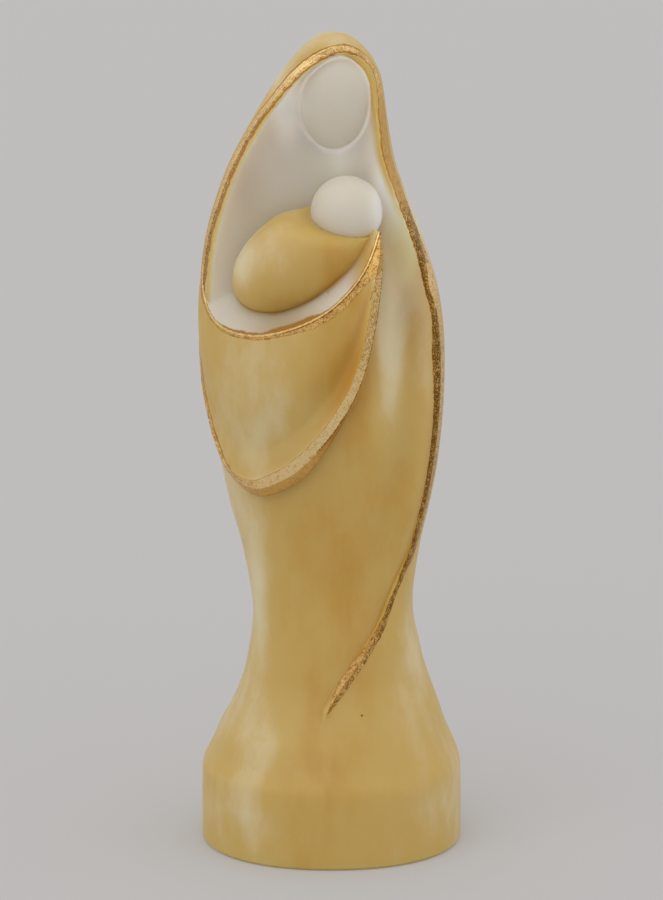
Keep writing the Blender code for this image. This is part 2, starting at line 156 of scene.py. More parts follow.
def evenly(points, count):
    """The same curve read at count places that are equally far apart, with each place's share of the way."""
    dense = curve(points)
    run = np.concatenate([[0.0], np.cumsum(np.linalg.norm(np.diff(dense, axis=0), axis=1))])
    share = np.linspace(0.0, 1.0, count)
    return np.stack([np.interp(share * run[-1], run, axis) for axis in dense.T], axis=1), share


def smooth_step(value, low, high):
    t = np.clip((value - low) / (high - low), 0.0, 1.0)
    return t * t * (3 - 2 * t)


def side(foot, waist, above, flare=SWELL):
    """One outline from the floor to below the crown: the foot's band, its swell into the waist, the rest."""
    swell = [(waist + (foot - waist) * share, BAND_TOP + (WAIST - BAND_TOP) * up) for up, share in flare]
    band = [(foot, 0.0), (foot, BAND_TOP * BAND_LEANS_FROM), (foot * BAND_LEAN, BAND_TOP)]
    return [*band, *swell, (waist, WAIST), *above]


def outline(rising, falling, tip):
    """Two functions of height, for the side that rises to the tip and the side that falls from it."""
    whole = curve([*rising, (tip, CROWN + CROWN_FLAT), *reversed(falling)])
    top = int(np.argmax(whole[:, 1]))
    up, down = whole[: top + 1], whole[top:][::-1]
    return (
        lambda z: np.interp(z, np.maximum.accumulate(up[:, 1]), up[:, 0]),
        lambda z: np.interp(z, np.maximum.accumulate(down[:, 1]), down[:, 0]),
    )


left_x, right_x = outline(
    side(-HALF_WIDTH, WAIST_LEFT, LEFT_SIDE),
    side(HALF_WIDTH, WAIST_RIGHT, RIGHT_SIDE, RIGHT_SWELL),
    CROWN_TIP[0],
)
back_depth, front_depth = outline(
    side(-HALF_DEPTH, WAIST_BACK, BACK_SIDE), side(HALF_DEPTH, WAIST_FRONT, FRONT_SIDE), CROWN_TIP[1]
)


def edge_lines():
    """The mantle's edge as functions of height: outer left and right, then inner left and right."""
    whole = curve(EDGE)
    top = int(np.argmax(whole[:, 1]))
    outer = whole[: top + 1], whole[top:][::-1]
    along = np.gradient(whole, axis=0)
    inward = np.stack([along[:, 1], -along[:, 0]], axis=1) / np.linalg.norm(along, axis=1)[:, None]
    inner = whole + inward * level(EDGE_WIDTH, whole[:, 1])[:, None]
    inner_top = int(np.argmax(inner[:, 1]))
    lines = [*outer, inner[: inner_top + 1], inner[inner_top:][::-1]]
    return lines, whole[top], inner[inner_top]


EDGE_LINES, BROW_POINT, INNER_BROW_POINT = edge_lines()


def along_edge(line, z):
    return np.interp(z, np.maximum.accumulate(line[:, 1]), line[:, 0])


def block_front(x, z):
    """How far forward the uncarved block reaches at x, z."""
    middle, half = (left_x(z) + right_x(z)) / 2, (right_x(z) - left_x(z)) / 2
    across = np.clip(np.abs(x - middle) / np.maximum(half, TINY), 0.0, 1.0)
    return front_depth(z) * (1 - across**ROUNDNESS) ** (1 / ROUNDNESS)


def carved_front(x, z, left, right):
    """The carved surface between the mantle's edges: the hollow above, the robe below."""
    share = np.clip((x - left) / np.maximum(right - left, TINY), 0.0, 1.0)
    open_above = smooth_step(z, HOLLOW_FROM, HOLLOW_TO)
    drop = level(EDGE_DROP, z)
    robe = block_front(x, z) - drop * np.clip(1 - (right - x) / DROP_REACH, 0.0, 1.0) ** 2
    rims = block_front(left, z) * (1 - share) + block_front(right, z) * share
    depth = level(HOLLOW_DEPTH, z) * smooth_step(right - left, 0.0, FULL_HOLLOW_WIDTH)
    hollow = rims - drop - depth * (4 * share * (1 - share)) ** HOLLOW_FULLNESS
    channel = level(CHANNEL_DEPTH, z) * np.exp(-(((x - right + CHANNEL_FROM_EDGE) / CHANNEL_WIDTH) ** 2))
    throat = np.exp(-(((x - THROAT[0]) / THROAT_SIZE[0]) ** 2) - ((z - THROAT[1]) / THROAT_SIZE[1]) ** 2)
    return robe * (1 - open_above) + hollow * open_above - channel + THROAT_RISE * throat


def brow_rim(x, z, left, right):
    """The rim over the brow, sloping back from its outer line to the hollow."""
    share = np.clip((x - left) / np.maximum(right - left, TINY), 0.0, 1.0)
    below = (BROW_POINT[1] - z) / (BROW_POINT[1] - INNER_BROW_POINT[1])
    return block_front(x, z) - level(EDGE_DROP, z) * below * np.sqrt(4 * share * (1 - share))


def body_heights():
    """Heights of the rows, closer together at the foot's edge, the brow and the crown."""
    heights = [np.array([0.0])]
    temple = INNER_BROW_POINT[1] - TEMPLE_BELOW_BROW
    stops = (BASE_CHAMFER, BAND_TOP, temple, INNER_BROW_POINT[1], BROW_POINT[1], CROWN)
    for low, high, rows, closing in zip(stops, stops[1:], BODY_ROWS, ROWS_CLOSE_IN):
        way = np.linspace(0.0, 1.0, rows + 1)
        heights.append(low + (high - low) * (np.sin(way * math.pi / 2) if closing else way)[:-1])
    return np.append(np.concatenate(heights), CROWN)


def body_section(z):
    """One level cut through the block as (x, forward) points: round the back, then across the front."""
    left, right = left_x(z), right_x(z)
    middle, half = (left + right) / 2, (right - left) / 2
    carved = z < INNER_BROW_POINT[1]
    if z >= BROW_POINT[1]:
        seam = BROW_POINT[0] + (CROWN_TIP[0] - BROW_POINT[0]) * smooth_step(z, BROW_POINT[1], CROWN)
        outer = inner = (seam, seam)
    else:
        outer = [along_edge(line, z) for line in EDGE_LINES[:2]]
        inner = [along_edge(line, z) for line in EDGE_LINES[2:]] if carved else outer
    outer = np.clip(outer, left, right)
    inner = np.clip(inner, outer[0], outer[1])
    start, end = (math.acos(np.clip((x - middle) / half, -1.0, 1.0)) for x in (outer[1], outer[0]))
    turn = np.linspace(start, end - 2 * math.pi, BACK_COLUMNS + 1)
    cos, sin = np.cos(turn), np.sin(turn)
    power = 2 / ROUNDNESS
    depth = np.where(sin > 0, front_depth(z), -back_depth(z))
    x = middle + half * np.sign(cos) * np.abs(cos) ** power
    forward = depth * np.sign(sin) * np.abs(sin) ** power
    x[[0, -1]] = outer[1], outer[0]
    forward[[0, -1]] = block_front(outer[::-1], np.full(2, z))
    even = np.linspace(0.0, 1.0, FRONT_COLUMNS + 1)
    across = inner[0] + (inner[1] - inner[0]) * (even + (1 - np.cos(even * math.pi)) / 2) / 2
    if carved:
        front = carved_front(across, z, *inner)
    elif z < BROW_POINT[1]:
        front = brow_rim(across, z, *inner)
    else:
        front = block_front(across, z)
    ridge = (inner[1] + outer[1]) / 2
    bead = block_front(ridge, z) + level(BEAD_HEIGHT, z)
    return np.concatenate([x, across, [ridge]]), np.concatenate([forward, front, [bead]])


def mesh_object(name, rings, surface_at):
    """A closed body from rings of points in millimetres, skinned ring to ring and capped. Each face notes
    which of the SURFACES it is, which surface_at tells from its row and column."""
    mesh = bpy.data.meshes.new(name)
    for surface in SURFACES:
        mesh.materials.append(bpy.data.materials.get(surface) or bpy.data.materials.new(surface))
    shape = bmesh.new()
    made = [[shape.verts.new((x * UNIT, -y * UNIT, z * UNIT)) for x, y, z in ring] for ring in rings]
    for row, (lower, upper) in enumerate(zip(made, made[1:])):
        for i in range(len(lower)):
            j = (i + 1) % len(lower)
            face = shape.faces.new((lower[i], lower[j], upper[j], upper[i]))
            face.material_index = SURFACES.index(surface_at(row, i))
    shape.faces.new(made[0][::-1])
    shape.faces.new(made[-1])
    bmesh.ops.remove_doubles(shape, verts=shape.verts, dist=UNIT * MERGED)
    bmesh.ops.dissolve_degenerate(shape, edges=shape.edges, dist=UNIT * MERGED)
    bmesh.ops.recalc_face_normals(shape, faces=shape.faces)
    shape.to_mesh(mesh)
    shape.free()
    item = bpy.data.objects.new(name, mesh)
    bpy.context.scene.collection.objects.link(item)
    return item


def make_block():
    rings = []
    heights = body_heights()
    for z in heights:
        x, forward = body_section(z)
        inset = 1 - BASE_CHAMFER / HALF_WIDTH if z == 0 else 1.0
        rings.append([(a * inset, b * inset, z) for a, b in zip(x, forward)])
    hollow_columns = range(BACK_COLUMNS + 1, BACK_COLUMNS + 1 + FRONT_COLUMNS)

    def surface_at(row, column):
        if column < BACK_COLUMNS:
            return "mantle"
        if column in hollow_columns and HOLLOW_FACES_FROM < heights[row] < INNER_BROW_POINT[1]:
            return "hollow"
        return "robe"

    return mesh_object("block", rings, surface_at)


block = make_block()

# The fold: the end of the mantle, brought round the front to carry the child. It is left standing from the
# same stone, with a thin rolled lip above and a broad hem below that drops back to the robe.
LIP = (
    (-29.4, 1.4, 155.0), (-30.5, 2.4, 149.6), (-31.1, 3.0, 145.0), (-31.2, 3.8, 141.0),
    (-30.5, 5.9, 137.0), (-28.5, 10.3, 133.4), (-24.6, 15.0, 131.3), (-18.1, 19.2, 130.9),
    (-11.6, 21.6, 132.4), (-6.2, 22.2, 134.4), (-1.0, 21.7, 137.2), (3.6, 20.6, 141.2),
    (7.0, 19.2, 145.4), (9.4, 17.6, 150.0), (11.2, 15.0, 155.2),
)
LOWER_EDGE = (
    (-24.2, -11.0, 151.0), (-29.4, -10.0, 141.0), (-31.4, -5.0, 133.0), (-31.9, -0.6, 125.0),
    (-31.2, 3.0, 115.0), (-29.6, 6.2, 107.0), (-27.7, 9.0, 100.6), (-24.6, 13.0, 95.6),
    (-18.6, 17.8, 93.2), (-11.5, 20.2, 96.0), (-5.8, 21.2, 100.4), (-0.4, 21.6, 106.4),
    (4.8, 21.2, 114.4), (8.2, 20.6, 122.6), (10.2, 19.8, 131.0), (11.6, 18.6, 140.0),
    (12.3, 17.0, 148.0), (11.8, 14.8, 155.0),
)
HEM_SHARE = 0.7
HEM_WIDTH = ((0.0, 0.5), (0.22, 0.9), (0.42, 1.6), (0.52, 2.4), (0.7, 2.8), (0.9, 2.9), (1.0, 0.5))
FULL_HEM = 2.0
HEM_TILT = 0.9
HEM_WALL_DROP = ((0.0, 2.4), (0.55, 2.4), (0.66, 1.3), (1.0, 1.0))
HEM_WALL_INSET = 2.2
HIDDEN_INSET = 4.0
FOLD_SWELL = ((0.0, 0.0), (0.3, 1.4), (0.55, 1.6), (0.85, 0.3), (1.0, 0.0))
SWELL_REACH = 1.25
FOLD_HOLLOW = ((0.0, 0.0), (0.3, 0.2), (0.6, 1.5), (0.85, 0.8), (1.0, 0.0))
HOLLOW_AT, HOLLOW_REACH = 0.75, 0.22
FULL_FOLD = 20.0
FOLD_AXIS = (-2.0, -3.0)
FOLD_REACH = 0.62
SCOOP = ((0.0, 0.0), (0.5, 0.35), (1.5, 1.1), (3.5, 2.4), (7.0, 3.8), (12.0, 4.6), (25.0, 5.0))
SCOOP_AT = (0.5, 1.2, 2.4, 4.4, 7.0, 10.0)
FOLD_ROWS = 34
FOLD_STEPS = 260


def fold_frame():
    """Along the fold: its lip, its lower edge, the way out from the middle, and the way down off the hem."""
    lip, share = evenly(LIP, FOLD_STEPS)
    lower, _ = evenly(LOWER_EDGE, FOLD_STEPS)
    out = lower * (1, 1, 0) - (*FOLD_AXIS, 0.0)
    out /= np.linalg.norm(out, axis=1)[:, None]
    away = np.cross(np.gradient(lower, axis=0), out)
    away *= (np.sign((away * (lower - lip)).sum(axis=1)) / np.linalg.norm(away, axis=1))[:, None]
    gap = np.linalg.norm(lip - lower, axis=1)
    hem = np.minimum(level(HEM_WIDTH, share), HEM_SHARE * gap)
    return share, lip, lower, out, away, gap, hem


def make_fold():
    axis = np.array(FOLD_AXIS)
    rings = []
    for t, lip, lower, out, away, gap, hem in zip(*fold_frame()):
        full = min(1.0, hem / FULL_HEM)
        breadth = min(1.0, gap / FULL_FOLD)
        crease = lower - away * hem + out * HEM_TILT * full
        ring = [lip]
        for v in np.linspace(0.0, 1.0, FOLD_ROWS + 2)[1:-1]:
            swell = level(FOLD_SWELL, t) * math.sin(math.pi * min(1.0, v * SWELL_REACH))
            sunk = level(FOLD_HOLLOW, t) * math.exp(-(((v - HOLLOW_AT) / HOLLOW_REACH) ** 2))
            ring.append(lip + (crease - lip) * v + out * (swell - sunk) * breadth)
        wall = lower + (away * level(HEM_WALL_DROP, t) - out * HEM_WALL_INSET) * full
        foot = wall - out * HIDDEN_INSET * full
        ring += [crease, lower, wall, foot]
        inside = foot.copy()
        inside[:2] += (axis - inside[:2]) * FOLD_REACH
        ring.append(inside)
        reach = np.linalg.norm(axis - lip[:2]) * FOLD_REACH
        for far_in in (reach, *(step for step in reversed(SCOOP_AT) if step < reach)):
            inside = lip.copy()
            inside[:2] += (axis - inside[:2]) / np.linalg.norm(axis - inside[:2]) * far_in
            inside[2] += level(SCOOP, far_in) * breadth
            ring.append(inside)
        rings.append(ring)
    lower_column = FOLD_ROWS + 2

    def surface_at(row, column):
        if column < lower_column:
            return "fold"
        return "hem wall" if column < lower_column + 2 else "fold inside"

    return mesh_object("fold", rings, surface_at)


fold = make_fold()

# The two heads and the swaddled child: smooth eggs standing half out of the hollow, all of the same stone.
# The heads have no features. The swaddling ends in a collar, cut square under the child's head. An egg is
# (middle, half its size each way, lean and nod in degrees, how much it narrows upwards).
HEAD = ((1.4, -0.2, 185.6), (10.0, 8.4, 12.8), 7.0, -4.0, -0.18)
SWADDLED_CHILD = ((-6.2, 8.8, 148.9), (11.3, 10.4, 19.8), 55.6, 4.0, 0.07)
CHILDS_HEAD = ((3.6, 8.4, 158.9), (8.6, 8.6, 8.6), 0.0, 0.0, 0.0)
COLLAR_AT = (2.9, 7.5, 156.8)
COLLAR_FACES = (0.18, 0.30, 0.94)
COLLAR_RINGS = 12
EGG_SEGMENTS = 64


def in_space(point):
    """A point or way given as (x, forward, z), as Blender has it."""
    return Vector((point[0], -point[1], point[2]))


def make_egg(surface, middle, half, lean, nod, narrow, flat_at=None, flat_faces=None):
    """A sphere drawn out to an egg, turned to its place and maybe cut flat across."""
    mesh = bpy.data.meshes.new(surface)
    for each in SURFACES:
        mesh.materials.append(bpy.data.materials[each])
    shape = bmesh.new()
    bmesh.ops.create_uvsphere(shape, u_segments=EGG_SEGMENTS * 2, v_segments=EGG_SEGMENTS, radius=1.0)
    for vertex in shape.verts:
        slim = 1 - narrow * vertex.co.z
        vertex.co.x *= half[0] * slim
        vertex.co.y *= half[1] * slim
        vertex.co.z *= half[2]
    turn = Euler((math.radians(nod), math.radians(lean), 0.0))
    shape.transform(Matrix.Translation(in_space(middle)) @ turn.to_matrix().to_4x4())
    for face in shape.faces:
        face.material_index = SURFACES.index(surface)
    if flat_at:
        cut = bmesh.ops.bisect_plane(
            shape,
            geom=[*shape.verts, *shape.edges, *shape.faces],
            plane_co=in_space(flat_at),
            plane_no=in_space(flat_faces),
            clear_outer=True,
        )
        rim = [item for item in cut["geom_cut"] if isinstance(item, bmesh.types.BMEdge)]
        flat = bmesh.ops.holes_fill(shape, edges=rim)["faces"][0]
        bmesh.ops.recalc_face_normals(shape, faces=shape.faces)
        flat.material_index = SURFACES.index("collar")
        centre = flat.calc_center_median()
        for ring in range(COLLAR_RINGS, 1, -1):
            bmesh.ops.inset_individual(shape, faces=[flat], thickness=0.0)
            for vertex in flat.verts:
                vertex.co = centre + (vertex.co - centre) * (ring - 1) / ring
    shape.transform(Matrix.Scale(UNIT, 4))
    shape.to_mesh(mesh)
    shape.free()
    item = bpy.data.objects.new(surface, mesh)
    bpy.context.scene.collection.objects.link(item)
    return item


eggs = [
    make_egg("head", *HEAD),
    make_egg("swaddling", *SWADDLED_CHILD, COLLAR_AT, COLLAR_FACES),
    make_egg("head", *CHILDS_HEAD),
]

# The carved figure: block, fold and eggs are one stone with no joints, so they are joined into one skin and
# the valleys round the eggs are rubbed soft. The mantle's arrises stay crisp, as the rasp left them.
CRISP_ANGLE = 32.0
SOME, NEARLY_ALL = 0.01, 0.99
RUBBED_RINGS = 3
RUBBED_TIMES = 10
JAW_RINGS = 5
JAW_TIMES = 30
JAW_ABOVE = 167.0
NECKLINE_RINGS = 2
POCKET_RINGS = 6
POCKET_TIMES = 40
POCKET_ANGLE = 12.0
RUBBED_EACH = 0.5


def carve_as_one(body, others):
    """The body and the others as one skin, joined by the solver that gives the same skin every time."""
    for other in others:
        join = body.modifiers.new("join " + other.name, "BOOLEAN")
        join.operation = "UNION"
        join.solver = "MANIFOLD"
        join.object = other
    skin = bpy.data.meshes.new_from_object(body.evaluated_get(bpy.context.evaluated_depsgraph_get()))
    skin.name = "virgin_and_child_carved"
    for item in (body, *others):
        bpy.data.objects.remove(item, do_unlink=True)
    figure = bpy.data.objects.new(skin.name, skin)
    bpy.context.scene.collection.objects.link(figure)
    return figure


def read(items, name, kind, width=1):
    """One property of every point, edge or face of the mesh, as an array."""
    values = np.empty(len(items) * width, kind)
    items.foreach_get(name, values)
    return values.reshape(-1, width) if width > 1 else values


def share_of(mesh, surface):
    """For each point, the share of the faces round it that were carved as this surface."""
    face = np.repeat(np.arange(len(mesh.polygons)), read(mesh.polygons, "loop_total", np.int32))
    is_surface = read(mesh.polygons, "material_index", np.int32) == SURFACES.index(surface)
    corner = read(mesh.loops, "vertex_index", np.int32)
    count = np.bincount(corner, minlength=len(mesh.vertices))
    return np.bincount(corner, is_surface[face].astype(float), len(mesh.vertices)) / np.maximum(count, 1)


def mean_round(mesh, values):
    """For each point, the mean of its neighbours' values."""
    ends = read(mesh.edges, "vertices", np.int32, 2)
    start, end = np.concatenate([ends, ends[:, ::-1]]).T
    count = np.maximum(np.bincount(start, minlength=len(values)), 1)
    columns = values.reshape(len(values), -1).T
    means = [np.bincount(start, column[end], len(values)) / count for column in columns]
    return np.stack(means, axis=1).reshape(values.shape)


def spread(mesh, near, rings):
    """The marked points with the rings of points round them, falling off ring by ring."""
    near = near.astype(float)
    for _ in range(rings):
        near = np.maximum(near, mean_round(mesh, near))
    return near


def valleys(mesh, rings):
    """1 where a head or the swaddling meets the stone round it, less on each next ring of points, and 0
    on the fold and round the neckline."""
    egg = share_of(mesh, "swaddling") + share_of(mesh, "collar") + share_of(mesh, "head")
    meeting = spread(mesh, (egg > SOME) & (egg < NEARLY_ALL), rings)
    return meeting * (share_of(mesh, "fold") == 0) * (neckline(mesh) == 0)


def neckline(mesh):
    """Above 0 where the child's head stands in its collar, and on the next rings of points."""
    cloth = share_of(mesh, "swaddling") + share_of(mesh, "collar")
    return spread(mesh, (cloth > SOME) & (share_of(mesh, "head") > SOME), NECKLINE_RINGS)


def pocket_and_collar(mesh):
    """1 along the collar's edge and where the fold's inside meets the hollow, and 0 on the fold's front,
    the mantle, the robe, the heads and the neckline."""
    collar = share_of(mesh, "collar") * share_of(mesh, "swaddling") > 0
    hollow = share_of(mesh, "hollow") + share_of(mesh, "fold inside") > NEARLY_ALL
    shape = bmesh.new()
    shape.from_mesh(mesh)
    bent = np.zeros(len(mesh.vertices), bool)
    for edge in shape.edges:
        if edge.is_manifold and edge.calc_face_angle() > math.radians(POCKET_ANGLE):
            bent[[vertex.index for vertex in edge.verts]] = True
    shape.free()
    rubbed = spread(mesh, collar | (hollow & bent), POCKET_RINGS)
    kept = [share_of(mesh, surface) for surface in ("fold", "mantle", "robe", "head")]
    return rubbed * (sum(kept) == 0) * (neckline(mesh) == 0)


def rub_soft(mesh, where, times):
    """Draws the points together where the stone was rubbed, so that a sharp valley becomes a round one."""
    places = read(mesh.vertices, "co", np.float32, 3).astype(float)
    for _ in range(times):
        places += (mean_round(mesh, places) - places) * (where * RUBBED_EACH)[:, None]
    mesh.vertices.foreach_set("co", places.astype(np.float32).ravel())
    mesh.update()


figure = carve_as_one(block, [fold, *eggs])
skin = figure.data
rub_soft(skin, pocket_and_collar(skin), POCKET_TIMES)
rub_soft(skin, valleys(skin, RUBBED_RINGS), RUBBED_TIMES)
# The ring round the mother's jaw is rubbed soft, and the finish also lightens it: painted light against the
# shade in that valley.
jaw = valleys(skin, JAW_RINGS) * (read(skin.vertices, "co", np.float32, 3)[:, 2] > JAW_ABOVE * UNIT)
rub_soft(skin, jaw, JAW_TIMES)
skin.shade_smooth()
skin.set_sharp_from_angle(angle=math.radians(CRISP_ANGLE))
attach(figure, "root")
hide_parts("virgin_and_child")

# The stone's clouds: alabaster is honey-coloured with paler, greyer clouds in it, and the hollow and both
# heads are cut in its palest part. A few clouds are painted light, marked where they stand. Each cloud is
# (middle (x, z), size (across, up), strength), amber below 0.
CLOUDS_AND_PAINTED_LIGHT = (
    ((14.0, 131.0), (3.4, 20.0), 1.7),
    # Painted light in the shaded channel right of the fold: the next cloud strengthens a real yellow patch
    # there, and the one after it is only painted light.
    ((16.0, 152.0), (4.5, 8.0), 3.0),
    ((19.0, 143.0), (4.0, 8.0), 1.5),
    ((23.0, 120.0), (3.0, 16.0), 0.5),
    ((23.5, 88.0), (3.0, 14.0), 0.6),
    ((-14.0, 116.0), (8.0, 20.0), 0.15),
    ((-16.0, 106.0), (18.0, 14.0), 0.25),
    ((-27.0, 124.0), (6.0, 12.0), 0.35),
    ((-27.0, 90.0), (6.0, 16.0), 0.45),
    ((-18.0, 64.0), (4.0, 24.0), 1.0),
    ((19.5, 52.0), (6.0, 16.0), 0.6),
    ((-24.0, 34.0), (12.0, 10.0), 0.7),
    ((-24.0, 12.0), (12.0, 9.0), 0.75),
    ((22.0, 14.0), (12.0, 9.0), 0.35),
    ((-15.0, 153.0), (9.0, 7.0), 0.5),
    ((-22.0, 148.0), (4.5, 9.0), 0.9),
    ((-2.0, 200.0), (11.0, 4.0), 0.5),
    ((-15.0, 193.0), (6.0, 6.0), 1.2),
    ((3.0, 121.0), (8.0, 18.0), -1.0),
    ((-12.0, 138.0), (14.0, 4.0), -0.6),
    ((1.0, 146.0), (5.0, 6.0), -0.6),
    ((18.0, 88.0), (11.0, 16.0), -0.3),
    ((6.0, 60.0), (12.0, 22.0), -0.45),
    ((6.0, 24.0), (16.0, 18.0), -0.45),
)
PALE_CLOUDS_AND_PAINTED_LIGHT = (
    # Painted light: the next three are light on the left of the mother's face, a highlight on her neck, and
    # light where the hollow is shaded right of the child's head.
    ((-10.5, 182.0), (4.0, 10.0), 1.0),
    ((2.0, 169.0), (4.0, 9.0), 0.25),
    ((15.0, 160.0), (5.0, 12.0), 1.5),
    ((-21.0, 140.0), (5.0, 7.0), 0.4),
    ((-8.0, 132.0), (16.0, 6.0), -1.7),
    ((-21.0, 164.0), (5.0, 9.0), -0.6),
)
HONEY_BY_LEFT_EDGE = (0.0, 0.5)
HONEY_BY_RIGHT_EDGE = (0.0, 2.2)
HONEY_BY_LIP_END = (3.0, 8.5)
PALE_UP_RIGHT = (147.0, 163.0)
RIGHT_OF_HEM = (9.0, 10.5)


def write_down(mesh, name, values):
    """Keeps one number for each point of the mesh, which the stone's finish reads by this name."""
    values = np.asarray(values, np.float32)
    mesh.attributes.new(name, "FLOAT", "POINT").data.foreach_set("value", values)


def sum_clouds(points, clouds):
    x, _, z = points.T
    total = np.zeros(len(points))
    for middle, size, strength in clouds:
        total += strength * np.exp(-(((x - middle[0]) / size[0]) ** 2) - ((z - middle[1]) / size[1]) ** 2)
    return total


def palest_stone(mesh, points):
    """1 in the hollow and on both heads, 0 on the swaddling and outside the mantle's edges."""
    x, _, z = points.T
    left, right = (along_edge(line, z) for line in EDGE_LINES[2:])
    within = smooth_step(x - left, *HONEY_BY_LEFT_EDGE) * smooth_step(right - x, *HONEY_BY_RIGHT_EDGE)
    beside_hem = smooth_step(x, *RIGHT_OF_HEM) * (1 - smooth_step(z, *PALE_UP_RIGHT))
    scoop = share_of(mesh, "fold inside") * (1 - smooth_step(x, *HONEY_BY_LIP_END))
    inside = (share_of(mesh, "hollow") * within + scoop) * (1 - beside_hem)
    return np.minimum(inside + share_of(mesh, "head"), 1.0)


points = read(skin.vertices, "co", np.float32, 3) * (1, -1, 1) / UNIT
write_down(skin, "cloud and painted light", sum_clouds(points, CLOUDS_AND_PAINTED_LIGHT))
write_down(skin, "pale cloud and painted light", sum_clouds(points, PALE_CLOUDS_AND_PAINTED_LIGHT))
write_down(skin, "pale", palest_stone(skin, points))
write_down(skin, "jaw", jaw)

# The gilding: gold paint brushed by hand along the mantle's edge, the fold's lip and the fold's hem. The
# finish reads each line's distance and painted widths, in millimetres, with keys as shares of its length.
RIM_INSIDE = (
    (0.0, -3.0), (0.08, -3.0), (0.1, 0.8), (0.2, 0.9), (0.27, 1.2), (0.34, 1.2), (0.38, 1.5), (0.42, 1.2),
    (0.45, 0.5), (0.475, 0.9), (0.5, 1.3), (0.55, 1.5), (0.59, 1.9), (0.61, 2.2), (0.635, 2.8), (0.66, 2.3),
    (0.69, 2.8), (0.735, 2.2), (0.77, 2.0), (0.81, 1.7), (0.86, 1.2), (0.885, 0.8), (0.93, 1.4),
    (0.965, 2.2), (0.985, 1.6), (1.0, 0.1),
)
RIM_OUTSIDE = (
    (0.0, -3.0), (0.08, -3.0), (0.1, 0.3), (0.36, 0.2), (0.44, 0.35), (0.56, 0.2), (0.9, 0.2),
    (0.94, 0.4), (0.98, 0.2), (1.0, -0.2),
)
# Painted light: the rim's shine keys are partly the paint's own tone and partly painted reflection, some
# stretches darkened and others brightened as their facets would mirror the room.
RIM_TONE_AND_PAINTED_SHINE = (
    (0.0, 0.3), (0.14, 0.3), (0.22, 0.25), (0.27, 0.3), (0.34, 0.35), (0.38, 0.6), (0.47, 0.6),
    (0.5, 0.42), (0.55, 0.4), (0.58, 0.25), (0.61, 0.06), (0.625, 0.2), (0.66, 0.15), (0.69, 0.03),
    (0.79, 0.05), (0.83, 0.12), (0.9, 0.12), (0.93, 0.5), (0.97, 0.65), (1.0, 0.5),
)
# Painted light: a painted highlight on the rim's outer strip, as far in as the keys after it give, and
# painted shade on that strip where the keys go below 0, on the bead at the lower end.
RIM_PAINTED_GLEAM = (
    (0.0, 0.4), (0.2, 0.45), (0.26, 0.5), (0.36, 0.45), (0.42, 0.1), (0.58, 0.0), (0.61, 0.5), (0.64, 0.6),
    (0.74, 0.6), (0.8, 0.3), (0.88, 0.1), (0.93, -0.2), (1.0, -0.25),
)
RIM_PAINTED_GLEAM_TO = (
    (0.0, 0.5), (0.2, 0.5), (0.3, 0.75), (0.4, 0.9), (0.58, 0.4), (0.61, 0.5), (0.635, 1.6), (0.66, 0.8),
    (0.7, 0.8), (0.8, 0.7), (0.88, 0.3), (0.93, 0.7), (1.0, 0.9),
)
RIM_MATT = ((0.0, 0.0), (0.46, 0.0), (0.49, 1.0), (0.55, 1.0), (0.58, 0.0), (1.0, 0.0))
LIP_INSIDE = ((0.0, 0.3), (0.3, 0.15), (1.0, 0.15))
LIP_BELOW = (
    (0.0, 0.5), (0.3, 0.8), (0.5, 1.1), (0.6, 1.3), (0.66, 1.9),
    (0.84, 2.2), (0.88, 3.4), (0.93, 4.5), (1.0, 4.5),
)
# Where the painted shade below the lip begins, as shares of its length.
LIP_DARK_FROM = (0.5, 0.62)
HEM_BELOW = (
    (0.0, 0.3), (0.38, 0.5), (0.45, 2.6), (0.55, 3.2), (0.62, 2.6), (0.7, 1.5), (0.8, 0.8), (1.0, 0.5),
)
HEM_SPREAD = ((0.0, 1.3), (0.38, 1.0), (0.46, 0.0), (1.0, 0.0))
# Where the painted shade along the hem's lower edge begins, as shares of its length.
HEM_DARK_FROM = (0.58, 0.64)
# Painted light: the hem's shine keys are painted reflection, brighter and darker along the hem as its facet
# turns to the light and away from it.
HEM_PAINTED_SHINE = (
    (0.0, 0.65), (0.38, 0.6), (0.44, 0.6), (0.5, 0.95), (0.57, 1.05), (0.62, 0.95), (0.69, 1.0),
    (0.76, 0.85), (0.82, 0.6), (0.9, 0.65), (1.0, 0.6),
)
RIM_STAIN = (
    (0.0, 0.5), (0.42, 0.5), (0.47, 0.15), (0.5, 0.35), (0.57, 0.35), (0.6, 0.12), (1.0, 0.12),
)
LIP_STAIN = (
    (0.0, 0.3), (0.34, 0.3), (0.4, 1.1), (0.5, 1.4), (0.58, 1.8),
    (0.64, 1.7), (0.7, 0.9), (0.76, 0.3), (1.0, 0.3),
)
HEM_STAIN = ((0.0, 0.3), (0.4, 0.6), (0.6, 1.0), (0.8, 0.8), (0.9, 0.4), (1.0, 0.4))
CLEAN_STAIN = 0.12
BACK_SHARE = 0.51
FAR = 30.0
LINE_POINTS = 700
AT_A_TIME = 4000


def beside(points, line):
    """Each point's distance from a line, how far it lies beyond the line's ends, and its share of the way."""
    along = np.gradient(line, axis=0)
    step = np.linalg.norm(along, axis=1)
    distance = np.empty(len(points))
    place = np.empty(len(points), int)
    for start in range(0, len(points), AT_A_TIME):
        part = slice(start, start + AT_A_TIME)
        gaps = ((points[part, None, :] - line[None, :, :]) ** 2).sum(axis=2)
        place[part] = gaps.argmin(axis=1)
        distance[part] = gaps.min(axis=1)
    offset = points - line[place]
    past = (offset * along[place]).sum(axis=1) / step[place]
    at_start, at_end = place == 0, place == len(line) - 1
    beyond = np.maximum(np.where(at_start, -past, 0.0), np.where(at_end, past, 0.0))
    past = np.where(at_start | at_end, past, np.clip(past, -step[place], step[place]))
    return np.sqrt(np.maximum(distance - past**2, 0.0)), beyond, place / (len(line) - 1)


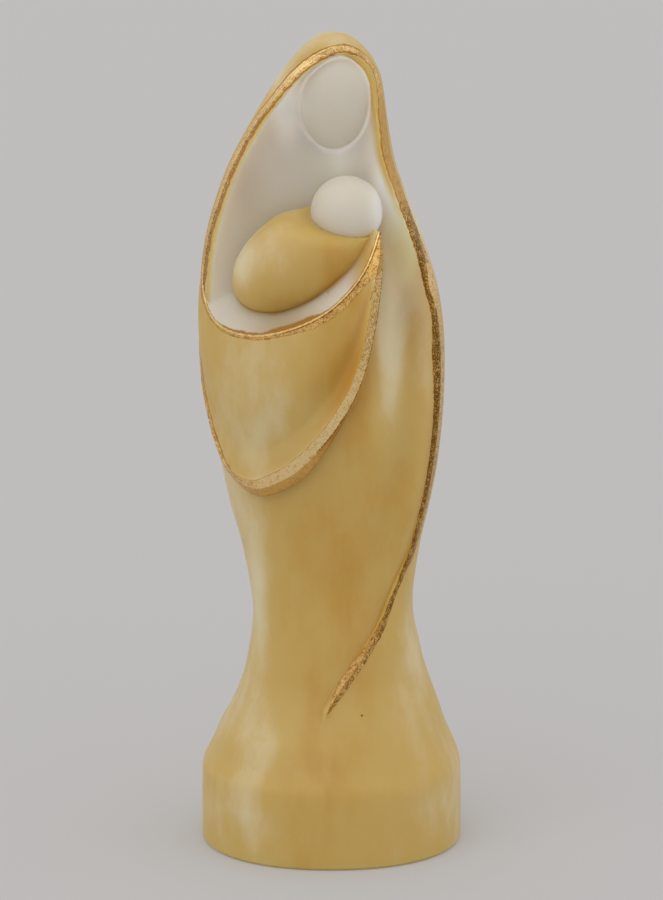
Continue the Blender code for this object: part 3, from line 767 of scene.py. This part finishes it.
def rim_line():
    flat, _ = evenly(EDGE, LINE_POINTS)
    return np.stack([flat[:, 0], block_front(*flat.T), flat[:, 1]], axis=1)


def write_line(mesh, name, distance, beyond, inside, outside, belongs):
    """Writes down one gold line: the distance, above 0 inside, and the painted widths where it belongs."""
    write_down(mesh, name, np.clip(distance, -FAR, FAR))
    write_down(mesh, name + " inside", np.where(belongs, np.maximum(inside - beyond, -FAR), -FAR))
    write_down(mesh, name + " outside", np.where(belongs, np.maximum(outside - beyond, -FAR), -FAR))


behind = share_of(skin, "mantle") > BACK_SHARE
on_front = share_of(skin, "fold")
on_wall = share_of(skin, "hem wall")
within = share_of(skin, "fold inside")
on_fold = on_front + on_wall + within
on_egg = share_of(skin, "head") + share_of(skin, "swaddling") + share_of(skin, "collar")
line = rim_line()
rim, past_rim, along_rim = beside(points, line)
seen, past_seen, along_seen = beside(points[:, ::2], line[:, ::2])
rim = np.where(behind, -rim, seen)
past_rim = np.where(behind, past_rim, past_seen)
along_rim = np.where(behind, along_rim, along_seen)
rim_widths = level(RIM_INSIDE, along_rim), level(RIM_OUTSIDE, along_rim)
write_line(skin, "rim", rim, past_rim, *rim_widths, (on_fold < NEARLY_ALL) & (on_egg < NEARLY_ALL))
write_down(skin, "rim tone and painted shine", level(RIM_TONE_AND_PAINTED_SHINE, along_rim))
write_down(skin, "rim painted gleam", level(RIM_PAINTED_GLEAM, along_rim))
write_down(skin, "rim painted gleam to", level(RIM_PAINTED_GLEAM_TO, along_rim))
write_down(skin, "rim matt", level(RIM_MATT, along_rim))
share, lip, lower, out, away, gap, hem_width = fold_frame()
lip_gap, past_lip, along_lip = beside(points, lip)
below_lip = np.where(within > on_front, -lip_gap, lip_gap)
lip_widths = level(LIP_BELOW, along_lip), level(LIP_INSIDE, along_lip)
write_line(skin, "lip", below_lip, past_lip, *lip_widths, on_fold > 0)
write_down(skin, "lip dark", smooth_step(along_lip, *LIP_DARK_FROM))
hem_gap, past_hem, along_hem = beside(points, lower)
below_hem = np.where(on_front > on_wall, -hem_gap, hem_gap)
hem_above = np.interp(along_hem, share, hem_width) + level(HEM_SPREAD, along_hem)
hem_widths = level(HEM_BELOW, along_hem), hem_above
hidden = share_of(skin, "hollow") + within + on_egg
write_line(skin, "hem", below_hem, past_hem, *hem_widths, hidden < NEARLY_ALL)
write_down(skin, "hem painted shine", level(HEM_PAINTED_SHINE, along_hem))
write_down(skin, "hem dark", smooth_step(along_hem, *HEM_DARK_FROM))
far = np.stack([np.abs(rim) + past_rim, lip_gap + past_lip, hem_gap + past_hem])
lip_stain = np.where(below_lip < 0, level(LIP_STAIN, along_lip), CLEAN_STAIN)
hem_stain = np.where(below_hem > 0, level(HEM_STAIN, along_hem), CLEAN_STAIN)
stains = [level(RIM_STAIN, along_rim), lip_stain, hem_stain]
write_down(skin, "stain", np.choose(far.argmin(axis=0), stains))

# The finish: polished alabaster, waxy and lit from within, and gold paint over it wherever it was brushed.
# A pattern is (scale, detail, roughness, upright), and a pair says where a change starts and is complete.
HONEY = (0.67, 0.465, 0.135, 1.0)
AMBER = (0.59, 0.31, 0.025, 1.0)
CREAM = (0.80, 0.69, 0.44, 1.0)
MILK = (0.95, 0.87, 0.62, 1.0)
PALEST = (0.76, 0.71, 0.61, 1.0)
PALE_LIGHT = (0.97, 0.95, 0.91, 1.0)
PALE_WARM = (0.50, 0.38, 0.22, 1.0)
STAIN = (0.43, 0.18, 0.004, 1.0)
# BRIGHT and the bronze colour are the gold in painted highlight and painted shade, and also in its own
# brighter and darker grains.
BRIGHT = (1.0, 0.745, 0.37, 1.0)
GOLD = (0.77, 0.46, 0.14, 1.0)
SHADED_GOLD_AND_BRONZE = (0.22, 0.105, 0.014, 1.0)
PIT = (0.24, 0.13, 0.02, 1.0)
PIT_AT, PIT_SIZE = (7.4, 20.1, 36.8), 0.42
WIDE_CLOUDS, WIDE_STRENGTH = (40.0, 3.0, 0.5, 0.4), 0.35
FINE_CLOUDS, FINE_STRENGTH = (150.0, 5.0, 0.6, 0.5), 0.2
FULL_CREAM, FULL_MILK, FULL_AMBER = 1.3, 2.8, -1.3
FULL_PALE_WARM = -2.0
WIDE_IN_PALE = 0.5
PATTERN_LOW, GRAIN_LOW = 0.3, 0.35
RAGGED, RAGGED_BY = (800.0, 4.0, 0.6), 0.13
PAINT_EDGE = 0.06
WAVES, WAVED_BY = (260.0, 3.0), 0.3
BLEED_FADES, BLEED_STRENGTH = (-1.0, -0.5), 0.95
GRAIN, GRAIN_STRENGTH = (3300.0, 2.0, 0.7), 0.36
STROKES, STROKE_STRENGTH, STROKES_IN_MATT = (900.0, 3.0, 0.6), 0.2, 0.4
LINE_STARTS = (-0.3, 0.0)
GLEAM_ENDS = (-0.1, 0.1)
# Painted light: a painted highlight along the lip's arris, and painted shade in a band below it on the right
# part of the lip.
LIP_LINE, LIP_LINE_SHINE = (0.38, 0.26), 0.85
LIP_DARK, LIP_DARK_SHINE = (0.75, 0.55), 0.1
LIP_SHINE = 0.42
UNDER_HEM, UNDER_HEM_SHINE = (0.2, 0.4), 0.42
# Painted shade: a thin dark line along the hem's lower edge, on its right part.
HEM_LINE_FROM, HEM_LINE_TO, HEM_LINE_SHINE = (-0.35, -0.1), (0.5, 0.3), 0.12
PLAIN_SHINE = 0.4
LIP_MATT = 0.4
GOLD_AT, BRIGHT_AT = 0.5, 1.0
STONE_ROUGHNESS, GOLD_ROUGHNESS = 0.42, 0.36
GLOW_WITHIN, GLOW_COLOUR, GLOW_DEPTH = 0.85, (1.0, 0.7, 0.4), 0.008
RELIEF, RELIEF_HEIGHT = 0.5, 0.00015


def node(tree, kind, values=(), **settings):
    """A shader node with its settings, and its inputs given as numbers, colours or other nodes' outputs."""
    made = tree.nodes.new(kind)
    for name, value in settings.items():
        setattr(made, name, value)
    for name, value in dict(values).items():
        if isinstance(value, bpy.types.NodeSocket):
            tree.links.new(value, made.inputs[name])
        else:
            made.inputs[name].default_value = value
    return made


def number(tree, name):
    return node(tree, "ShaderNodeAttribute", attribute_name=name).outputs["Fac"]


def noise(tree, scale, detail=4.0, roughness=0.5, upright=1.0):
    place = node(tree, "ShaderNodeTexCoord").outputs["Object"]
    place = node(tree, "ShaderNodeMapping", {"Vector": place, "Scale": (1.0, 1.0, upright)}).outputs["Vector"]
    values = {"Vector": place, "Scale": scale, "Detail": detail, "Roughness": roughness}
    return node(tree, "ShaderNodeTexNoise", values).outputs["Fac"]


def ramp(tree, value, low, high, to_low=0.0, to_high=1.0):
    values = {"Value": value, "From Min": low, "From Max": high, "To Min": to_low, "To Max": to_high}
    return node(tree, "ShaderNodeMapRange", values, interpolation_type="SMOOTHSTEP").outputs["Result"]


def swing(tree, pattern, strength, low=PATTERN_LOW):
    """A pattern between 0 and 1 turned into one that swings evenly about 0."""
    return ramp(tree, pattern, low, 1 - low, -strength, strength)


def combine(tree, operation, first, second):
    return node(tree, "ShaderNodeMath", {0: first, 1: second}, operation=operation).outputs[0]


def blend_colour(tree, share, first, second):
    return node(tree, "ShaderNodeMix", {0: share, 6: first, 7: second}, data_type="RGBA").outputs[2]


def blend_number(tree, share, first, second):
    return node(tree, "ShaderNodeMix", {0: share, 2: first, 3: second}, data_type="FLOAT").outputs[0]


def inside_line(tree, name):
    """Millimetres inside the painted width of one gold line, below 0 outside it."""
    distance = number(tree, name)
    inner = combine(tree, "SUBTRACT", number(tree, name + " inside"), distance)
    outer = combine(tree, "ADD", number(tree, name + " outside"), distance)
    return combine(tree, "MINIMUM", inner, outer)


def stone_colour(tree):
    """Honey with cream, milky and amber clouds, nearly white in the hollow and on the heads; some clouds
    and the ring round the mother's jaw are painted light.
    """
    wide = swing(tree, noise(tree, *WIDE_CLOUDS), WIDE_STRENGTH)
    fine = swing(tree, noise(tree, *FINE_CLOUDS), FINE_STRENGTH)
    clouds = combine(tree, "ADD", number(tree, "cloud and painted light"), combine(tree, "ADD", wide, fine))
    stone = blend_colour(tree, ramp(tree, clouds, 0.0, FULL_CREAM), HONEY, CREAM)
    stone = blend_colour(tree, ramp(tree, clouds, FULL_CREAM, FULL_MILK), stone, MILK)
    stone = blend_colour(tree, ramp(tree, clouds, 0.0, FULL_AMBER), stone, AMBER)
    pale_clouds_and_painted_light = combine(tree, "MULTIPLY", wide, WIDE_IN_PALE)
    pale_clouds_and_painted_light = combine(tree, "ADD", number(tree, "pale cloud and painted light"), pale_clouds_and_painted_light)
    # Painted light: the ring round the mother's jaw is lightened against the shade in its valley.
    pale_clouds_and_painted_light = combine(tree, "ADD", pale_clouds_and_painted_light, number(tree, "jaw"))
    palest = blend_colour(tree, ramp(tree, pale_clouds_and_painted_light, 0.0, 1.0), PALEST, PALE_LIGHT)
    palest = blend_colour(tree, ramp(tree, pale_clouds_and_painted_light, 0.0, FULL_PALE_WARM), palest, PALE_WARM)
    stone = blend_colour(tree, number(tree, "pale"), stone, palest)
    place = node(tree, "ShaderNodeTexCoord").outputs["Object"]
    pit = {0: place, 1: in_space(PIT_AT) * UNIT}
    away = node(tree, "ShaderNodeVectorMath", pit, operation="DISTANCE").outputs["Value"]
    return blend_colour(tree, ramp(tree, away, PIT_SIZE * UNIT, PIT_SIZE * UNIT / 2), stone, PIT)


def metal_colour(tree, grain):
    """Gold between bronze and bright: partly the paint's own tone, thick or thin, with its grain and strokes,
    and partly painted light: painted highlights on arrises and bright facets, painted shade in grooves and
    on facets turned away. It is even where it is matt.
    """
    rim_share = ramp(tree, inside_line(tree, "rim"), *LINE_STARTS)
    hem_share = ramp(tree, inside_line(tree, "hem"), *LINE_STARTS)
    lip_share = ramp(tree, inside_line(tree, "lip"), *LINE_STARTS)
    to_gleam_end = combine(tree, "SUBTRACT", number(tree, "rim painted gleam to"), number(tree, "rim"))
    gleam = combine(tree, "MULTIPLY", number(tree, "rim painted gleam"), ramp(tree, to_gleam_end, *GLEAM_ENDS))
    rim_shine = combine(tree, "ADD", number(tree, "rim tone and painted shine"), gleam)
    lip = number(tree, "lip")
    lip_dark = combine(tree, "MULTIPLY", number(tree, "lip dark"), ramp(tree, lip, *LIP_DARK))
    lip_shine = blend_number(tree, lip_dark, LIP_SHINE, LIP_DARK_SHINE)
    lip_shine = blend_number(tree, ramp(tree, lip, *LIP_LINE), lip_shine, LIP_LINE_SHINE)
    hem = number(tree, "hem")
    under_hem = ramp(tree, hem, *UNDER_HEM)
    hem_shine = blend_number(tree, under_hem, number(tree, "hem painted shine"), UNDER_HEM_SHINE)
    hem_line = combine(tree, "MULTIPLY", ramp(tree, hem, *HEM_LINE_FROM), ramp(tree, hem, *HEM_LINE_TO))
    hem_line = combine(tree, "MULTIPLY", hem_line, number(tree, "hem dark"))
    hem_shine = blend_number(tree, hem_line, hem_shine, HEM_LINE_SHINE)
    shine = blend_number(tree, hem_share, PLAIN_SHINE, hem_shine)
    shine = blend_number(tree, lip_share, shine, lip_shine)
    shine = blend_number(tree, rim_share, shine, rim_shine)
    matt = blend_number(tree, lip_share, under_hem, LIP_MATT)
    matt = blend_number(tree, rim_share, matt, number(tree, "rim matt"))
    specks = blend_number(tree, matt, swing(tree, grain, GRAIN_STRENGTH, GRAIN_LOW), 0.0)
    strokes = swing(tree, noise(tree, *STROKES), STROKE_STRENGTH)
    strokes = blend_number(tree, matt, strokes, combine(tree, "MULTIPLY", strokes, STROKES_IN_MATT))
    shine = combine(tree, "ADD", shine, combine(tree, "ADD", specks, strokes))
    metal = blend_colour(tree, ramp(tree, shine, 0.0, GOLD_AT), SHADED_GOLD_AND_BRONZE, GOLD)
    return blend_colour(tree, ramp(tree, shine, GOLD_AT, BRIGHT_AT), metal, BRIGHT)


def gilded_alabaster():
    """Waxy stone with a thin amber stain where the paint bled, and gold over it inside the painted lines."""
    finish = bpy.data.materials.new("gilded honey alabaster")
    finish.use_nodes = True
    tree = finish.node_tree
    shader = tree.nodes["Principled BSDF"]
    inside = combine(tree, "MAXIMUM", inside_line(tree, "rim"), inside_line(tree, "lip"))
    inside = combine(tree, "MAXIMUM", inside, inside_line(tree, "hem"))
    inside = combine(tree, "ADD", inside, swing(tree, noise(tree, *RAGGED), RAGGED_BY))
    painted = ramp(tree, inside, -PAINT_EDGE, PAINT_EDGE)
    bleed = combine(tree, "DIVIDE", inside, number(tree, "stain"))
    bleed = combine(tree, "ADD", bleed, swing(tree, noise(tree, *WAVES), WAVED_BY))
    stained = ramp(tree, bleed, *BLEED_FADES, 0.0, BLEED_STRENGTH)
    grain = noise(tree, *GRAIN)
    colour = blend_colour(tree, stained, stone_colour(tree), STAIN)
    colour = blend_colour(tree, painted, colour, metal_colour(tree, grain))
    tree.links.new(colour, shader.inputs["Base Color"])
    tree.links.new(painted, shader.inputs["Metallic"])
    tree.links.new(blend_number(tree, painted, STONE_ROUGHNESS, GOLD_ROUGHNESS), shader.inputs["Roughness"])
    tree.links.new(blend_number(tree, painted, GLOW_WITHIN, 0.0), shader.inputs["Subsurface Weight"])
    shader.inputs["Subsurface Radius"].default_value = GLOW_COLOUR
    shader.inputs["Subsurface Scale"].default_value = GLOW_DEPTH
    relief = {
        "Strength": RELIEF,
        "Distance": RELIEF_HEIGHT,
        "Height": combine(tree, "MULTIPLY", painted, grain),
    }
    tree.links.new(node(tree, "ShaderNodeBump", relief).outputs["Normal"], shader.inputs["Normal"])
    return finish


skin.materials.clear()
skin.materials.append(gilded_alabaster())

# The studio: a pale floor that runs out of sight, daylight from all round and two wide soft lamps, the
# stronger from the viewer's left. A lamp is (where it shines from, width in degrees, strength).
FLOOR_SIZE = 12.0
FLOOR_COLOUR = (0.50, 0.491, 0.491, 1.0)
FLOOR_ROUGHNESS, FLOOR_SHEEN = 0.9, 0.1
FLOOR_GLOW = 0.115
SKY_COLOUR = (1.0, 0.99, 0.98, 1.0)
SKY_STRENGTH = 0.66
LAMPS = (((-0.5, -0.7, 1.0), 60.0, 0.42), ((0.8, -0.3, 0.8), 70.0, 0.18))


def make_floor():
    mesh = bpy.data.meshes.new("floor")
    half = FLOOR_SIZE / 2
    corners = [(-half, -half, 0), (half, -half, 0), (half, half, 0), (-half, half, 0)]
    mesh.from_pydata(corners, [], [(0, 1, 2, 3)])
    paper = bpy.data.materials.new("floor paper")
    paper.use_nodes = True
    shader = paper.node_tree.nodes["Principled BSDF"]
    shader.inputs["Base Color"].default_value = FLOOR_COLOUR
    shader.inputs["Roughness"].default_value = FLOOR_ROUGHNESS
    shader.inputs["Specular IOR Level"].default_value = FLOOR_SHEEN
    shader.inputs["Emission Color"].default_value = SKY_COLOUR
    shader.inputs["Emission Strength"].default_value = FLOOR_GLOW
    mesh.materials.append(paper)
    floor = bpy.data.objects.new("floor", mesh)
    bpy.context.scene.collection.objects.link(floor)


def light_studio():
    world = bpy.data.worlds.new("studio")
    world.use_nodes = True
    sky = world.node_tree.nodes["Background"]
    sky.inputs["Color"].default_value = SKY_COLOUR
    sky.inputs["Strength"].default_value = SKY_STRENGTH
    bpy.context.scene.world = world
    for place, width, strength in LAMPS:
        light = bpy.data.lights.new("softbox", "SUN")
        light.angle = math.radians(width)
        light.energy = strength
        lamp = bpy.data.objects.new("softbox", light)
        lamp.location = place
        lamp.rotation_euler = (-Vector(place)).to_track_quat("-Z", "Y").to_euler()
        bpy.context.scene.collection.objects.link(lamp)


make_floor()
light_studio()

# The camera: a long lens in front of the figure, a little above it, looking down at the middle of its
# height. The angle is in degrees, and the distance and the point aimed at are in metres.
CAMERA_HEIGHT_ANGLE = 13.0
CAMERA_DISTANCE = 0.9
CAMERA_TARGET = (0.0, 0.0, 0.0985)
PIXELS_PER_MM = 4.083
FRAME_HEIGHT = 900
SENSOR = 36.0


def place_camera():
    camera = bpy.data.cameras.new("camera")
    camera.sensor_width = SENSOR
    camera.lens = SENSOR * PIXELS_PER_MM * CAMERA_DISTANCE * 1000 / FRAME_HEIGHT
    holder = bpy.data.objects.new("camera", camera)
    rise = math.radians(CAMERA_HEIGHT_ANGLE)
    back = Vector((0.0, -math.cos(rise), math.sin(rise)))
    holder.location = Vector(CAMERA_TARGET) + back * CAMERA_DISTANCE
    holder.rotation_euler = (-back).to_track_quat("-Z", "Y").to_euler()
    bpy.context.scene.collection.objects.link(holder)
    bpy.context.scene.camera = holder


place_camera()
bpy.context.scene.view_settings.view_transform = "Standard"
